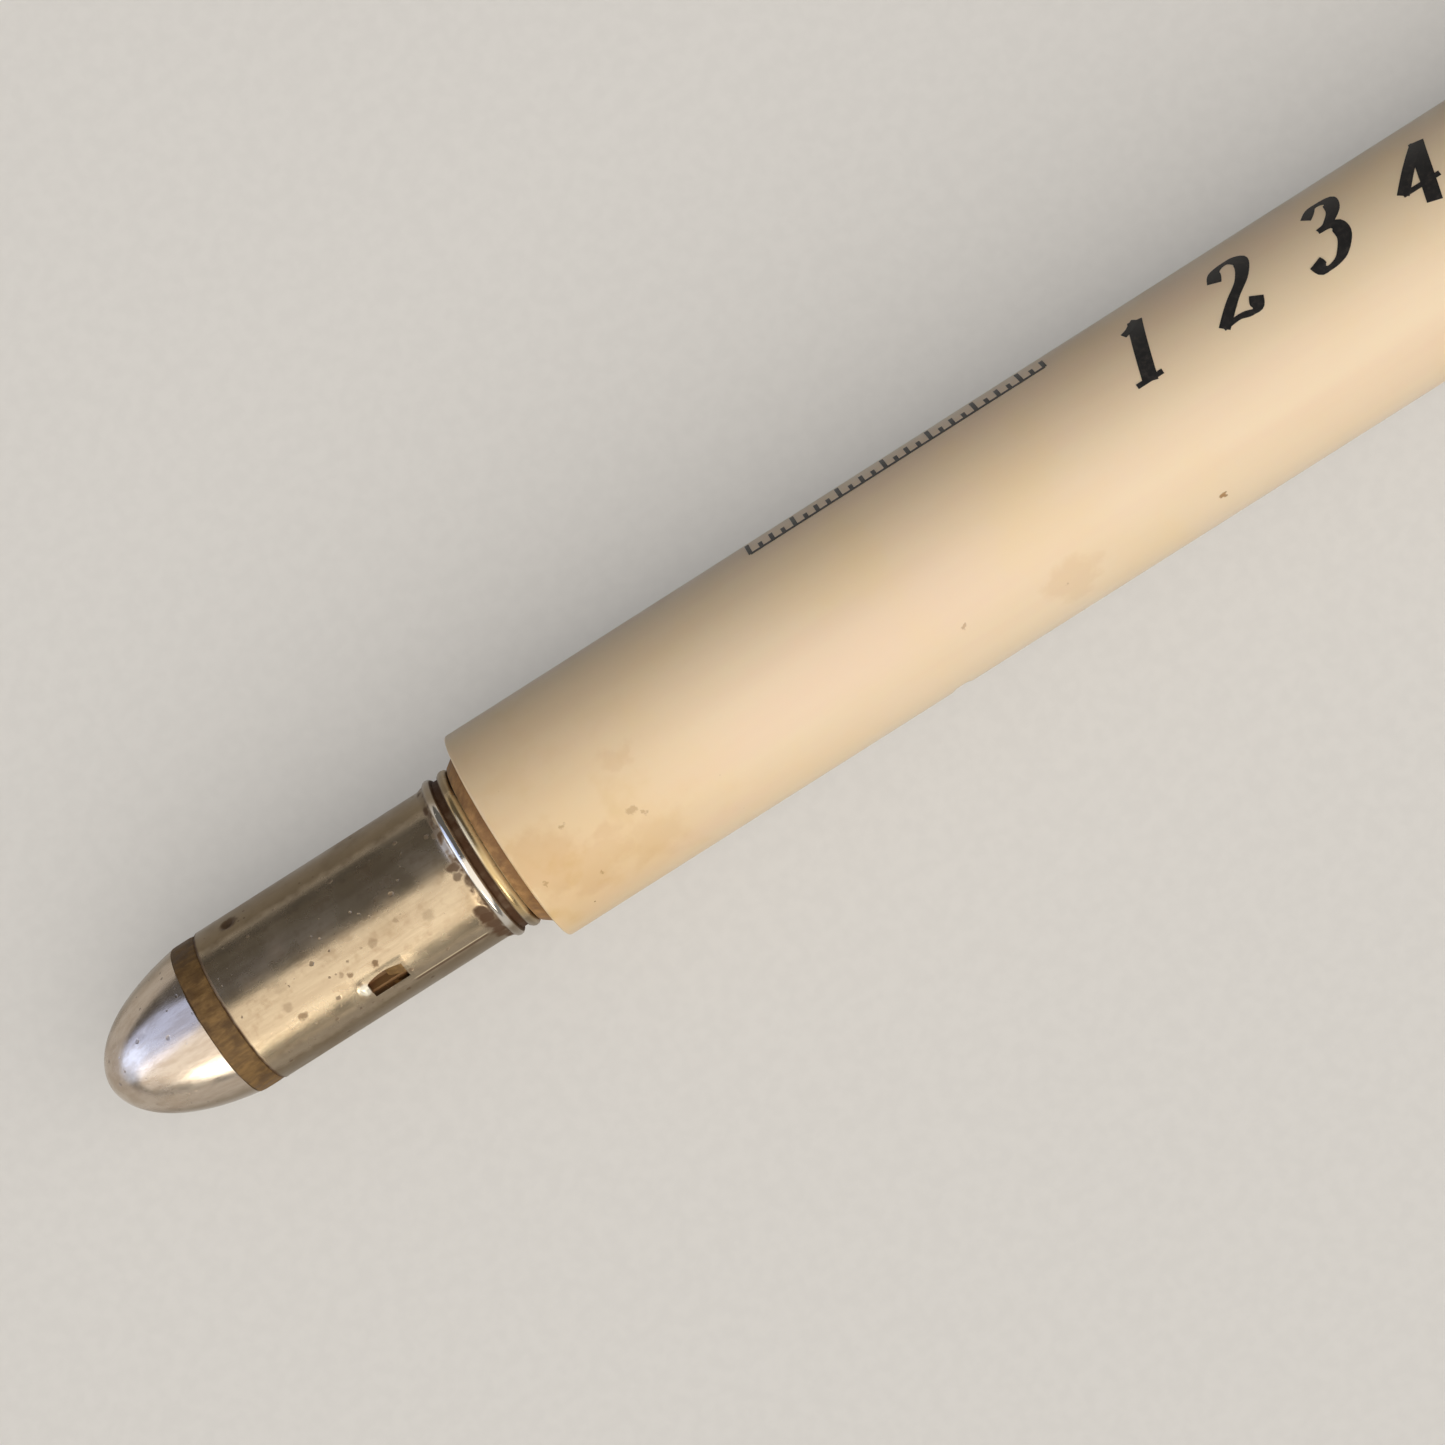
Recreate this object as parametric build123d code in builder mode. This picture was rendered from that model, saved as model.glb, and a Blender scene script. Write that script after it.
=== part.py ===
from build123d import *

import os
from math import cos, radians, sin, tan

# Bullet pencil, in millimetres.  A stub of cedar pencil is held in a plated sleeve with a bullet-shaped
# nose, and the sleeve slides into a celluloid barrel so that the point is covered.
# X is the barrel's axis, with the nose towards -X and the eraser towards +X.  The origin is the middle of
# the barrel, and +Z is up when the pencil lies on a table.

# Barrel: a celluloid tube over a fibre tube, which stands a little out of it at the mouth.
barrel_length = 82.0
barrel_diameter = 9.5
shell_wall = 0.7
shell_rim_chamfer = 0.12
liner_wall = 0.55
lip_length = 0.6
lip_land = 0.12

# Bullet sleeve: a drawn tube that slides in the fibre tube and stops on a ring of two rolled beads.
slide_clearance = 0.05
seat_clearance = 0.03
sleeve_wall = 0.25
sleeve_reach = 12.84
sleeve_insert = 9.0
sleeve_edge_chamfer = 0.07
bead_height = 0.22
front_bead_width = 0.45
rear_bead_width = 0.5
bead_gap = 0.27
flare_length = 0.3
flare_height = 0.1

# Spring slits that let the inner end of the sleeve close on the stub.
slit_length = 6.0
slit_width = 0.4

# Window with a tongue that is lanced inwards and bites into the cedar.
window_from_mouth = 6.93
window_length = 1.55
window_height = 0.8
window_bow = 0.14
window_turn = 38.0
window_lip_width = 0.3
window_lip_corner = 0.12
window_lip_height = 0.1
tongue_width = 0.55
tongue_thickness = 0.15
tongue_length = 0.75
tongue_bite = 0.3
tongue_clearance = 0.08

# Punch marks that stake the sleeve onto the nose plug.
stake_from_front = 1.6
stake_diameter = 0.56
stake_depth = 0.16
stake_boss_rim = 0.1
stake_taper = 25.0
stake_turn = -66.0
stake_groove_width = 1.1
stake_groove_depth = 0.3

# Nose: a hollow cap and a turned plug, whose shoulder shows as a brown band between cap and sleeve.
band_width = 1.09
plug_spigot_length = 3.0
cap_length = 5.1
cap_step = 0.05
cap_wall = 0.3
cap_flank_share = 0.86
cap_flank_angle = 9.0
cap_tip_share = 0.235
cap_spigot_length = 2.4

# Pencil stub: two glued halves of cedar around a graphite lead, sharpened at the inner end.
stub_clearance = 0.05
stub_body_length = 34.0
cone_length = 10.5
lead_diameter = 2.2
lead_clearance = 0.02
lead_point_length = 4.0
lead_tip_radius = 0.25

# Eraser end: a drawn cup pressed into the fibre tube and crimped on the eraser by a rolled groove.
press_clearance = 0.02
cup_insert = 6.0
cup_reach = 7.0
cup_wall = 0.25
cup_corner = 0.2
cup_bead_width = 0.55
cup_bead_height = 0.3
crimp_width = 1.0
crimp_depth = 0.22
crimp_from_barrel = 4.2
eraser_clearance = 0.02
eraser_standout = 4.5
eraser_edge_radius = 1.2

# Radii that follow from the sizes above.
shell_radius = barrel_diameter / 2
liner_radius = shell_radius - shell_wall
bore_radius = liner_radius - liner_wall
sleeve_radius = bore_radius - slide_clearance
sleeve_bore_radius = sleeve_radius - sleeve_wall
stub_radius = sleeve_bore_radius - stub_clearance
lead_radius = lead_diameter / 2
lead_hole_radius = lead_radius + lead_clearance
plug_spigot_radius = sleeve_bore_radius - seat_clearance
cap_radius = sleeve_radius - cap_step
cup_radius = bore_radius - press_clearance
cup_bore_radius = cup_radius - cup_wall
eraser_radius = cup_bore_radius - eraser_clearance

# Stations along X that follow from the sizes above.
mouth = -barrel_length / 2
barrel_end = barrel_length / 2
lip_end = mouth - lip_length
rear_bead_centre = lip_end - seat_clearance - rear_bead_width / 2
front_bead_end = rear_bead_centre - rear_bead_width / 2 - bead_gap
front_bead_centre = front_bead_end - front_bead_width / 2
sleeve_front = mouth - sleeve_reach
sleeve_end = mouth + sleeve_insert
window_centre = mouth - window_from_mouth
stake_station = sleeve_front + stake_from_front
band_front = sleeve_front - band_width
plug_end = sleeve_front + plug_spigot_length
stub_back = plug_end + seat_clearance
cone_start = stub_back + stub_body_length
cone_end = cone_start + cone_length
lead_tip = cone_end + lead_point_length
cup_bottom = barrel_end - cup_insert
cup_rim = barrel_end + cup_reach
cup_bead_centre = barrel_end + seat_clearance + cup_bead_width / 2

bead_rings = [
    (front_bead_centre, front_bead_width, bead_height),
    (rear_bead_centre, rear_bead_width, bead_height),
]
cup_bead_ring = (cup_bead_centre, cup_bead_width, cup_bead_height)
crimp_ring = (barrel_end + crimp_from_barrel, crimp_width, -crimp_depth)

os.makedirs("parts", exist_ok=True)


def finish(piece, name):
    """Label a finished piece and write it to its own STEP file."""
    piece.part.label = name
    export_step(piece.part, f"parts/{name}.step")


def chords(curve, count):
    """Points at equal steps along a curve."""
    return [curve @ (step / count) for step in range(count + 1)]


def rolled_wall(start, end, radius, rings, ring_shape):
    """Draw one side of a tube wall along X, where ring_shape draws each rolled ring (centre, width, height)."""
    here = start
    for centre, width, height in rings:
        near, far = centre - width / 2, centre + width / 2
        Line((here, radius), (near, radius))
        ring_shape(near, far, radius, height)
        here = far
    Line((here, radius), (end, radius))


def round_ring(near, far, radius, height):
    """Draw a half-round ring in four chords, which is as round as so small a ring needs."""
    crown = ThreePointArc((near, radius), ((near + far) / 2, radius + height), (far, radius), mode=Mode.PRIVATE)
    Polyline(*chords(crown, 4))


def vee_ring(near, far, radius, height):
    """Draw a ring that is pressed to a V."""
    Polyline((near, radius), ((near + far) / 2, radius + height), (far, radius))


def nose_curve(base, radius, length, mode=Mode.ADD):
    """Bullet curve from its tip on the axis to its base circle, with a flank that leans inwards."""
    flank = cap_flank_share * length
    tip = base - length
    return Bezier(
        (tip, 0),
        (tip, cap_tip_share * radius),
        (base - flank, radius - flank * tan(radians(cap_flank_angle))),
        (base, radius),
        mode=mode,
    )


def surface_plane(x, radius, turn):
    """Plane that touches a cylinder about X, turned from +Z towards -Y, with its normal pointing outwards."""
    outward = Vector(0, -sin(radians(turn)), cos(radians(turn)))
    return Plane(origin=Vector(x, 0, 0) + outward * radius, x_dir=(1, 0, 0), z_dir=outward)


# Celluloid shell, with its outer rims broken by a small chamfer.
with BuildPart() as barrel_shell:
    with BuildSketch(Plane.XY) as shell_half:
        with Locations((0, (shell_radius + liner_radius) / 2)):
            Rectangle(barrel_length, shell_wall)
        chamfer(shell_half.vertices().group_by(Axis.Y)[-1], shell_rim_chamfer)
    revolve(axis=Axis.X)
finish(barrel_shell, "barrel_shell")

# Fibre liner: its lip tapers from the shell's bore down to the mouth of its own bore.
with BuildPart() as barrel_liner:
    with BuildSketch(Plane.XY):
        with BuildLine():
            Polyline(
                (lip_end, bore_radius),
                (lip_end, bore_radius + lip_land),
                (mouth, liner_radius),
                (barrel_end, liner_radius),
                (barrel_end, bore_radius),
                close=True,
            )
        make_face()
    revolve(axis=Axis.X)
finish(barrel_liner, "barrel_liner")

# Bullet sleeve: the drawn tube, then its spring slits, window, tongue and punch marks.
with BuildPart() as bullet_sleeve:
    with BuildSketch(Plane.XY) as sleeve_half:
        with BuildLine():
            rolled_wall(sleeve_front, sleeve_end, sleeve_radius, bead_rings, round_ring)
            Polyline(
                (sleeve_end, sleeve_radius),
                (sleeve_end, sleeve_bore_radius),
                (sleeve_front, sleeve_bore_radius),
                (sleeve_front, sleeve_radius),
            )
        make_face()
        with BuildLine():
            Polyline(
                (front_bead_centre - front_bead_width / 2 - flare_length, sleeve_radius),
                (front_bead_centre, sleeve_radius + flare_height),
                (front_bead_centre, sleeve_radius),
                close=True,
            )
        make_face()
        for end in (sleeve_front, sleeve_end):
            chamfer(sleeve_half.vertices().sort_by_distance((end, sleeve_radius))[0], sleeve_edge_chamfer)
    revolve(axis=Axis.X)

    for slit_plane in (Plane.XY, Plane.XZ):
        with BuildSketch(slit_plane):
            with Locations((sleeve_end, 0)):
                Rectangle(2 * slit_length, slit_width)
        extrude(amount=sleeve_radius, both=True, mode=Mode.SUBTRACT)

    # The window has one bowed side, and a low lip stands at its nose end.
    window_plane = surface_plane(window_centre, sleeve_radius, window_turn)
    with BuildSketch(window_plane.offset(-sleeve_wall / 2)):
        with Locations((-(window_length + window_lip_width) / 2, 0)):
            RectangleRounded(window_lip_width, window_height, window_lip_corner)
    extrude(amount=sleeve_wall / 2 + window_lip_height)
    with BuildSketch(window_plane):
        with BuildLine():
            left, right = -window_length / 2, window_length / 2
            low, high = -window_height / 2, window_height / 2 - window_bow
            Polyline((left, high), (left, low), (right, low), (right, high))
            ThreePointArc((right, high), (0, window_height / 2), (left, high))
        make_face()
    extrude(amount=2 * sleeve_wall, both=True, mode=Mode.SUBTRACT)

    # The tongue hangs on the window's rear edge and leans inwards, so cedar slides past it one way only.
    radial = Vector(0, -sin(radians(window_turn)), cos(radians(window_turn)))
    root = window_centre + window_length / 2
    tip = root - tongue_length
    tongue_low = (sleeve_radius + sleeve_bore_radius - tongue_thickness) / 2
    tip_low = sleeve_bore_radius - tongue_bite
    with BuildSketch(Plane(origin=(0, 0, 0), x_dir=(1, 0, 0), z_dir=radial.cross(Vector(-1, 0, 0)))):
        with BuildLine():
            Polyline(
                (root + sleeve_wall, tongue_low),
                (root + sleeve_wall, tongue_low + tongue_thickness),
                (root, tongue_low + tongue_thickness),
                (tip, tip_low + tongue_thickness),
                (tip, tip_low),
                (root, tongue_low),
                close=True,
            )
        make_face()
    extrude(amount=tongue_width / 2, both=True)

    # Each punch mark is a pocket outside and a boss inside, which reaches into the plug's groove.
    for stake in (stake_turn, stake_turn + 180):
        stake_plane = surface_plane(stake_station, sleeve_radius, stake)
        with BuildSketch(stake_plane.offset(-sleeve_wall / 2)):
            Circle(stake_diameter / 2 + stake_boss_rim)
        extrude(amount=-sleeve_wall / 2 - stake_depth, taper=stake_taper)
        with BuildSketch(stake_plane):
            Circle(stake_diameter / 2)
        extrude(amount=-stake_depth, taper=stake_taper, mode=Mode.SUBTRACT)
finish(bullet_sleeve, "bullet_sleeve")

# Nose cap: a hollow drawn bullet point, open at its base.
with BuildPart() as nose_cap:
    with BuildSketch(Plane.XY):
        with BuildLine():
            outside = nose_curve(band_front, cap_radius, cap_length)
            inside = nose_curve(band_front, cap_radius - cap_wall, cap_length - cap_wall, Mode.PRIVATE)
            Polyline(outside @ 0, *chords(inside, 3), outside @ 1)
        make_face()
    revolve(axis=Axis.X)
finish(nose_cap, "nose_cap")

# Nose plug: the shoulder is the brown band, one spigot fills the cap and the other the sleeve.
with BuildPart() as nose_plug:
    with BuildSketch(Plane.XY):
        with BuildLine():
            Polyline(
                (band_front, 0),
                (band_front, sleeve_radius),
                (sleeve_front, sleeve_radius),
                (sleeve_front, plug_spigot_radius),
                (plug_end, plug_spigot_radius),
                (plug_end, 0),
                close=True,
            )
        make_face()
        with Locations((stake_station, plug_spigot_radius)):
            Rectangle(stake_groove_width, 2 * stake_groove_depth, mode=Mode.SUBTRACT)
    revolve(axis=Axis.X)
    with BuildSketch(Plane.XY):
        with BuildLine():
            gap = cap_wall + seat_clearance
            crown = nose_curve(band_front, cap_radius - gap, cap_length - gap, Mode.PRIVATE)
            Polyline(*chords(crown, 3), (band_front, 0), close=True)
        make_face()
        with Locations((band_front - cap_spigot_length / 2, sleeve_radius / 2)):
            Rectangle(cap_spigot_length, sleeve_radius, mode=Mode.INTERSECT)
    revolve(axis=Axis.X)
finish(nose_plug, "nose_plug")

# Pencil stub: each half is a half-turn of one profile, grooved for the lead and sharpened to a cone.
for slat_name, side in (("stub_slat_upper", 1), ("stub_slat_lower", -1)):
    with BuildPart() as stub_slat:
        with BuildSketch(Plane.XY):
            with BuildLine():
                Polyline(
                    (stub_back, side * lead_hole_radius),
                    (stub_back, side * stub_radius),
                    (cone_start, side * stub_radius),
                    (cone_end, side * lead_hole_radius),
                    close=True,
                )
            make_face()
        revolve(axis=Axis.X, revolution_arc=180)
        if side > 0:
            # Score that the tongue ploughed when the stub was pushed home.
            score_end = window_centre + window_length / 2 + tongue_clearance
            score_width = tongue_width + 2 * tongue_clearance
            with BuildSketch(surface_plane((stub_back + score_end) / 2, stub_radius, window_turn)):
                Rectangle(score_end - stub_back, score_width)
            extrude(amount=-tongue_bite - tongue_clearance, mode=Mode.SUBTRACT)
    finish(stub_slat, slat_name)

# Graphite lead, with a blunt conical point.
with BuildPart() as graphite_lead:
    with BuildSketch(Plane.XY):
        with BuildLine():
            Polyline(
                (stub_back, 0),
                (stub_back, lead_radius),
                (cone_end, lead_radius),
                (lead_tip, lead_tip_radius),
                (lead_tip, 0),
                close=True,
            )
        make_face()
    revolve(axis=Axis.X)
finish(graphite_lead, "graphite_lead")

# Eraser cup: a deep-drawn cup with a stop bead at the barrel's end and one crimped groove.
with BuildPart() as eraser_ferrule:
    with BuildSketch(Plane.XY) as cup_half:
        with BuildLine():
            rolled_wall(cup_bottom, cup_rim, cup_radius, [cup_bead_ring, crimp_ring], vee_ring)
            Line((cup_rim, cup_radius), (cup_rim, cup_bore_radius))
            rolled_wall(cup_bottom + cup_wall, cup_rim, cup_bore_radius, [crimp_ring], vee_ring)
            Polyline(
                (cup_bottom + cup_wall, cup_bore_radius),
                (cup_bottom + cup_wall, 0),
                (cup_bottom, 0),
                (cup_bottom, cup_radius),
            )
        make_face()
        chamfer(cup_half.vertices().sort_by_distance((cup_bottom, cup_radius))[0], cup_corner)
    revolve(axis=Axis.X)
finish(eraser_ferrule, "eraser_ferrule")

# Rubber eraser, necked by the crimp and rounded at its free end.
with BuildPart() as eraser:
    eraser_back = cup_bottom + cup_wall + seat_clearance
    eraser_end = cup_rim + eraser_standout
    with BuildSketch(Plane.XY):
        with BuildLine():
            rolled_wall(eraser_back, eraser_end - eraser_edge_radius, eraser_radius, [crimp_ring], vee_ring)
            edge_centre = (eraser_end - eraser_edge_radius, eraser_radius - eraser_edge_radius)
            edge = CenterArc(edge_centre, eraser_edge_radius, 90, -90, mode=Mode.PRIVATE)
            Polyline(*chords(edge, 4), (eraser_end, 0), (eraser_back, 0), (eraser_back, eraser_radius))
        make_face()
    revolve(axis=Axis.X)
finish(eraser, "eraser")
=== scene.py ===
from math import cos, pi, radians, sin, tan

import bpy
import numpy as np
from mathutils import Matrix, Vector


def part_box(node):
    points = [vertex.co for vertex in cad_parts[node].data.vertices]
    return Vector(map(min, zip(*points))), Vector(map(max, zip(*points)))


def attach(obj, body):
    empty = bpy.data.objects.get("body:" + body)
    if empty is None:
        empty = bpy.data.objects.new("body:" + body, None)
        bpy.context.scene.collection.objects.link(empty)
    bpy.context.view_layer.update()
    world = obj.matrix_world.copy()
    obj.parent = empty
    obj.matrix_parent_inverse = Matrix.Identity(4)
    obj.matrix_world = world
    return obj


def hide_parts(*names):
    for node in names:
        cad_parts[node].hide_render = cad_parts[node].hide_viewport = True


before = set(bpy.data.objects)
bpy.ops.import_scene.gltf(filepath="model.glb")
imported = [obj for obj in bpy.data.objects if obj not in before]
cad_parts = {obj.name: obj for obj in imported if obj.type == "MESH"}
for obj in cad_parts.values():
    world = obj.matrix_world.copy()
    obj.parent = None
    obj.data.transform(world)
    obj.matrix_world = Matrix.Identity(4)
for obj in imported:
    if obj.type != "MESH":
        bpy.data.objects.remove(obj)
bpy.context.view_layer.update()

# Barrel shell.  A celluloid tube, cast cream and gone a little yellow, sawn to length and slipped over the
# fibre tube.  Its rims are worn round, and one tiny chip is out of its underside.
MM = 0.001


def ends(node_name):
    """First and last station along X of a CAD node, in millimetres."""
    lowest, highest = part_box(node_name)
    return lowest[0] / MM, highest[0] / MM


mouth, barrel_end = ends("barrel_shell")
shell_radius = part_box("barrel_shell")[1][2] / MM
shell_wall, shell_swell = 0.7, 0.008
liner_radius = shell_radius - shell_wall
chip_station, chip_turn = -22.3, radians(88)
chip_half_length, chip_half_width, chip_depth = 0.34, 0.5, 0.13


def rounded(corners, steps=5):
    """Profile in millimetres through corners (x, r, rounding). A corner with a rounding becomes the quadratic
    curve between the two points that lie that far from it along its sides. A point a little further out on
    each side keeps the shading of the flats beside it flat."""
    t = np.linspace(0, 1, steps + 1)[:, None]
    spots = np.array(corners, float)
    profile = []
    for here, before, after in zip(spots, np.roll(spots, 1, axis=0), np.roll(spots, -1, axis=0)):
        corner, size = here[:2], here[2]
        if size == 0:
            profile.append(corner[None])
            continue
        back = (before[:2] - corner) / np.linalg.norm(before[:2] - corner)
        ahead = (after[:2] - corner) / np.linalg.norm(after[:2] - corner)
        start, end = corner + back * size, corner + ahead * size
        curve = (1 - t) ** 2 * start + 2 * t * (1 - t) * corner + t**2 * end
        profile.append(np.vstack([corner + back * size * 1.2, curve, corner + ahead * size * 1.2]))
    return np.vstack(profile)


def spaced(profile, longest):
    """The same profile with points added at even steps, so that no run is longer than the given length. One
    that doesn't start on the axis is a closed loop."""
    closed = profile[0, 1] > 0
    stops = np.roll(profile, -1, axis=0) if closed else profile[1:]
    counts = np.ceil(np.linalg.norm(stops - profile[: len(stops)], axis=1) / longest).astype(int)
    counts = np.maximum(counts, 1)
    runs = [a + (b - a) * np.arange(n)[:, None] / n for a, b, n in zip(profile, stops, counts)]
    return np.vstack(runs if closed else runs + [profile[-1:]])


def wobble(x, a, seed):
    """Slow hand-made unevenness between -1 and 1: the mean of six sine waves round the axis and along it,
    with whole numbers of waves round it, so that they meet."""
    draw = np.random.default_rng(seed)
    total = 0
    for waves in (1, 2, 3, 5, 7, 9):
        along, phase = draw.uniform(-1.3, 1.3), draw.uniform(0, 2 * pi)
        total = total + np.sin(waves * a + along * x + phase)
    return total / 6


def ringed(x, r, a):
    """Points about the barrel's axis: the one at station x, radius r and angle a is (x, -r sin a, r cos a),
    so the angle is counted from +Z towards -Y."""
    return np.stack(np.broadcast_arrays(x, -r * np.sin(a), r * np.cos(a)), axis=-1)


def grid_faces(rows, columns, rows_meet, columns_meet):
    """Faces between neighbours in a grid of points. Where rows or columns meet, the last joins the first."""
    i = np.arange(rows if rows_meet else rows - 1)[:, None]
    j = np.arange(columns if columns_meet else columns - 1)
    far, beside = (i + 1) % rows, (j + 1) % columns
    corners = (i * columns + j, far * columns + j, far * columns + beside, i * columns + beside)
    return np.stack(np.broadcast_arrays(*corners), axis=-1).reshape(-1, 4)


def turned(profile, turns, shape):
    """Points and faces of a profile (x, r) turned about X, where shape(x, a, r) is its true radius at the
    angle a. A profile that starts on the axis also ends on it, and closes in two poles. Any other profile is
    a closed loop round a wall."""
    a = np.arange(turns) * 2 * pi / turns
    poles = profile[0, 1] == 0
    x, r = np.hsplit(profile[1:-1] if poles else profile, 2)
    points = ringed(x, shape(x, a, r), a).reshape(-1, 3)
    faces = [grid_faces(len(x), turns, not poles, True)]
    if poles:
        j, beside = np.arange(turns), (np.arange(turns) + 1) % turns
        first, last = np.full(turns, len(points)), np.full(turns, len(points) + 1)
        base = len(points) - turns
        faces.append(np.stack([first, j, beside], axis=-1))
        faces.append(np.stack([last, base + beside, base + j], axis=-1))
        points = np.vstack([points, (profile[0, 0], 0, 0), (profile[-1, 0], 0, 0)])
    return points, faces


def outwards(points, faces):
    """Index rows turned so that they face outwards: the signed volume, which is the sum over all triangles of
    their first point dotted with the cross product of the other two, comes out positive."""
    volume = 0.0
    for rows in faces:
        for k in range(1, rows.shape[1] - 1):
            first, second, third = points[rows[:, 0]], points[rows[:, k]], points[rows[:, k + 1]]
            volume += np.einsum("ij,ij->", first, np.cross(second, third))
    return faces if volume > 0 else [rows[:, ::-1] for rows in faces]


def shown(name, data):
    """New object in the scene."""
    made = bpy.data.objects.new(name, data)
    bpy.context.scene.collection.objects.link(made)
    return made


def piece(name, solid, body, look, stands_for=None, crease=35):
    """Mesh object from points in millimetres and blocks of faces. It is smooth but for edges sharper than
    crease, in degrees."""
    mesh = bpy.data.meshes.new(name)
    points, faces = solid
    rows = [row for block in outwards(points, faces) for row in block.tolist()]
    mesh.from_pydata((points * MM).tolist(), [], rows)
    mesh.shade_smooth()
    mesh.set_sharp_from_angle(angle=radians(crease))
    mesh.materials.append(look)
    made = shown(name, mesh)
    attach(made, body)
    if stands_for:
        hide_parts(stands_for)


class Pattern:
    """What a shader node gives out over a surface: a number, a colour or a place. Arithmetic on it adds the
    Math node that works it out, and an index picks another output of its node."""

    def __init__(self, tree, socket):
        self.tree, self.socket = tree, socket

    def __getitem__(self, output):
        return Pattern(self.tree, self.socket.node.outputs[output])

    def __add__(self, other):
        return reckon("ADD", self, other)

    def __sub__(self, other):
        return reckon("SUBTRACT", self, other)

    def __rsub__(self, other):
        return reckon("SUBTRACT", other, self)

    def __mul__(self, other):
        return reckon("MULTIPLY", self, other)

    def __abs__(self):
        return reckon("ABSOLUTE", self)


def give(socket, value):
    """Link a pattern to a socket, or set a plain value on it."""
    if isinstance(value, Pattern):
        value.tree.links.new(value.socket, socket)
    else:
        socket.default_value = value


def fill(sockets, **values):
    """Give sockets their values by name, with an underscore for a space."""
    for name, value in values.items():
        give(sockets[name.replace("_", " ")], value)


def source(tree, kind, output):
    """Pattern from a node that needs nothing given to it."""
    return Pattern(tree, tree.nodes.new("ShaderNode" + kind).outputs[output])


def node(kind, *values, **named):
    """Pattern from a new node, in the tree of a pattern that it is given. Values fill its inputs in order. Of
    the named ones, lower case sets a property of the node, and a capital fills the input of that name."""
    tree = next(value.tree for value in (*values, *named.values()) if isinstance(value, Pattern))
    made = tree.nodes.new("ShaderNode" + kind)
    for name, value in named.items():
        if name[0].islower():
            setattr(made, name, value)
    for socket, value in zip(made.inputs, values):
        give(socket, value)
    fill(made.inputs, **{name: value for name, value in named.items() if name[0].isupper()})
    return Pattern(tree, made.outputs[0])


def reckon(how, *values):
    """Arithmetic on numbers."""
    return node("Math", *values, operation=how)


def vector(how, *values, output="Vector"):
    """Arithmetic on places and colours."""
    return node("VectorMath", *values, operation=how)[output]


def largest(first, *others):
    """The largest of several numbers."""
    for other in others:
        first = reckon("MAXIMUM", first, other)
    return first


def step(value, low, high, bottom=0, top=1):
    """Smooth step of a value from bottom at low to top at high."""
    return node("MapRange", value, low, high, bottom, top, interpolation_type="SMOOTHSTEP")


def noise(place, scale, detail, roughness=0.5):
    """Cloudy noise between nought and one."""
    return node("TexNoise", Vector=place, Scale=scale, Detail=detail, Roughness=roughness)


def stretched(place, squeeze):
    """The place with its X squeezed, so that a pattern drawn on it runs lengthwise."""
    return node("Mapping", Vector=place, Scale=(squeeze, 1, 1))


def relief(height, strength, depth):
    """Bump of a height, with its depth in millimetres."""
    return node("Bump", Height=height, Strength=strength, Distance=depth * MM)


def station_of(place):
    """The place's own X."""
    return node("SeparateXYZ", place)["X"]


def srgb(red, green, blue):
    """Linear colour, with alpha, of a colour that is given as it looks on a screen, from 0 to 255."""
    value = np.array((red, green, blue)) / 255
    return (*np.where(value < 0.04045, value / 12.92, ((value + 0.055) / 1.055) ** 2.4).tolist(), 1.0)


def painted(under, *coats):
    """A colour with coats over it, each a mask and a colour. A colour is a pattern, or three numbers as for
    srgb, or four linear ones."""
    for mask, over in coats:
        mix = mask.tree.nodes.new("ShaderNodeMix")
        mix.data_type = "RGBA"
        for index, value in ((0, mask), (6, under), (7, over)):
            screen_colour = isinstance(value, tuple) and len(value) == 3
            give(mix.inputs[index], srgb(*value) if screen_colour else value)
        under = Pattern(mask.tree, mix.outputs[2])
    return under


def group(name, inputs, outputs):
    """Empty node group, where Place is a vector and all else is a number. Returns the group, its inputs as
    patterns by name, and the sockets that it puts out."""
    tree = bpy.data.node_groups.new(name, "ShaderNodeTree")
    for label in inputs:
        kind = "NodeSocketVector" if label == "Place" else "NodeSocketFloat"
        tree.interface.new_socket(name=label, in_out="INPUT", socket_type=kind)
    for label in outputs:
        tree.interface.new_socket(name=label, in_out="OUTPUT", socket_type="NodeSocketFloat")
    arriving, leaving = tree.nodes.new("NodeGroupInput").outputs, tree.nodes.new("NodeGroupOutput").inputs
    return tree, {label: Pattern(tree, arriving[label]) for label in inputs}, leaving


def material(name):
    """New material. Returns it, the inputs of its shader, and the place on the piece in millimetres."""
    made = bpy.data.materials.new(name)
    made.use_nodes = True
    place = node("Mapping", Vector=source(made.node_tree, "TexCoord", "Object"), Scale=(1000, 1000, 1000))
    return made, made.node_tree.nodes["Principled BSDF"].inputs, place


def grained(shader, colour, grain, smoothest, roughest, strength, depth):
    """Give a shader its colour, and a grain that sets its roughness between two values, and its relief."""
    rough = step(grain, 0.3, 0.7, smoothest, roughest)
    fill(shader, Base_Color=colour, Roughness=rough, Normal=relief(grain, strength, depth))


# Specks: a cell pattern keeps a share of its cells, and each of those holds one ragged dot.
specks, given, result = group("specks", ("Place", "Density", "Size", "Share"), ("Mask",))
ragged = vector("MULTIPLY", noise(given["Place"], 9, 2)["Color"], (0.09, 0.09, 0.09))
cells = node("TexVoronoi", Vector=vector("ADD", given["Place"], ragged), Scale=given["Density"])
chance = node("SeparateColor", cells["Color"])
kept = reckon("LESS_THAN", chance["Red"], given["Share"])
reach = given["Size"] * step(chance["Green"], 0, 1, 0.3, 1)
fill(result, Mask=kept * (1 - step(reckon("DIVIDE", cells["Distance"], reach), 0.6, 1.1)))

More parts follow.
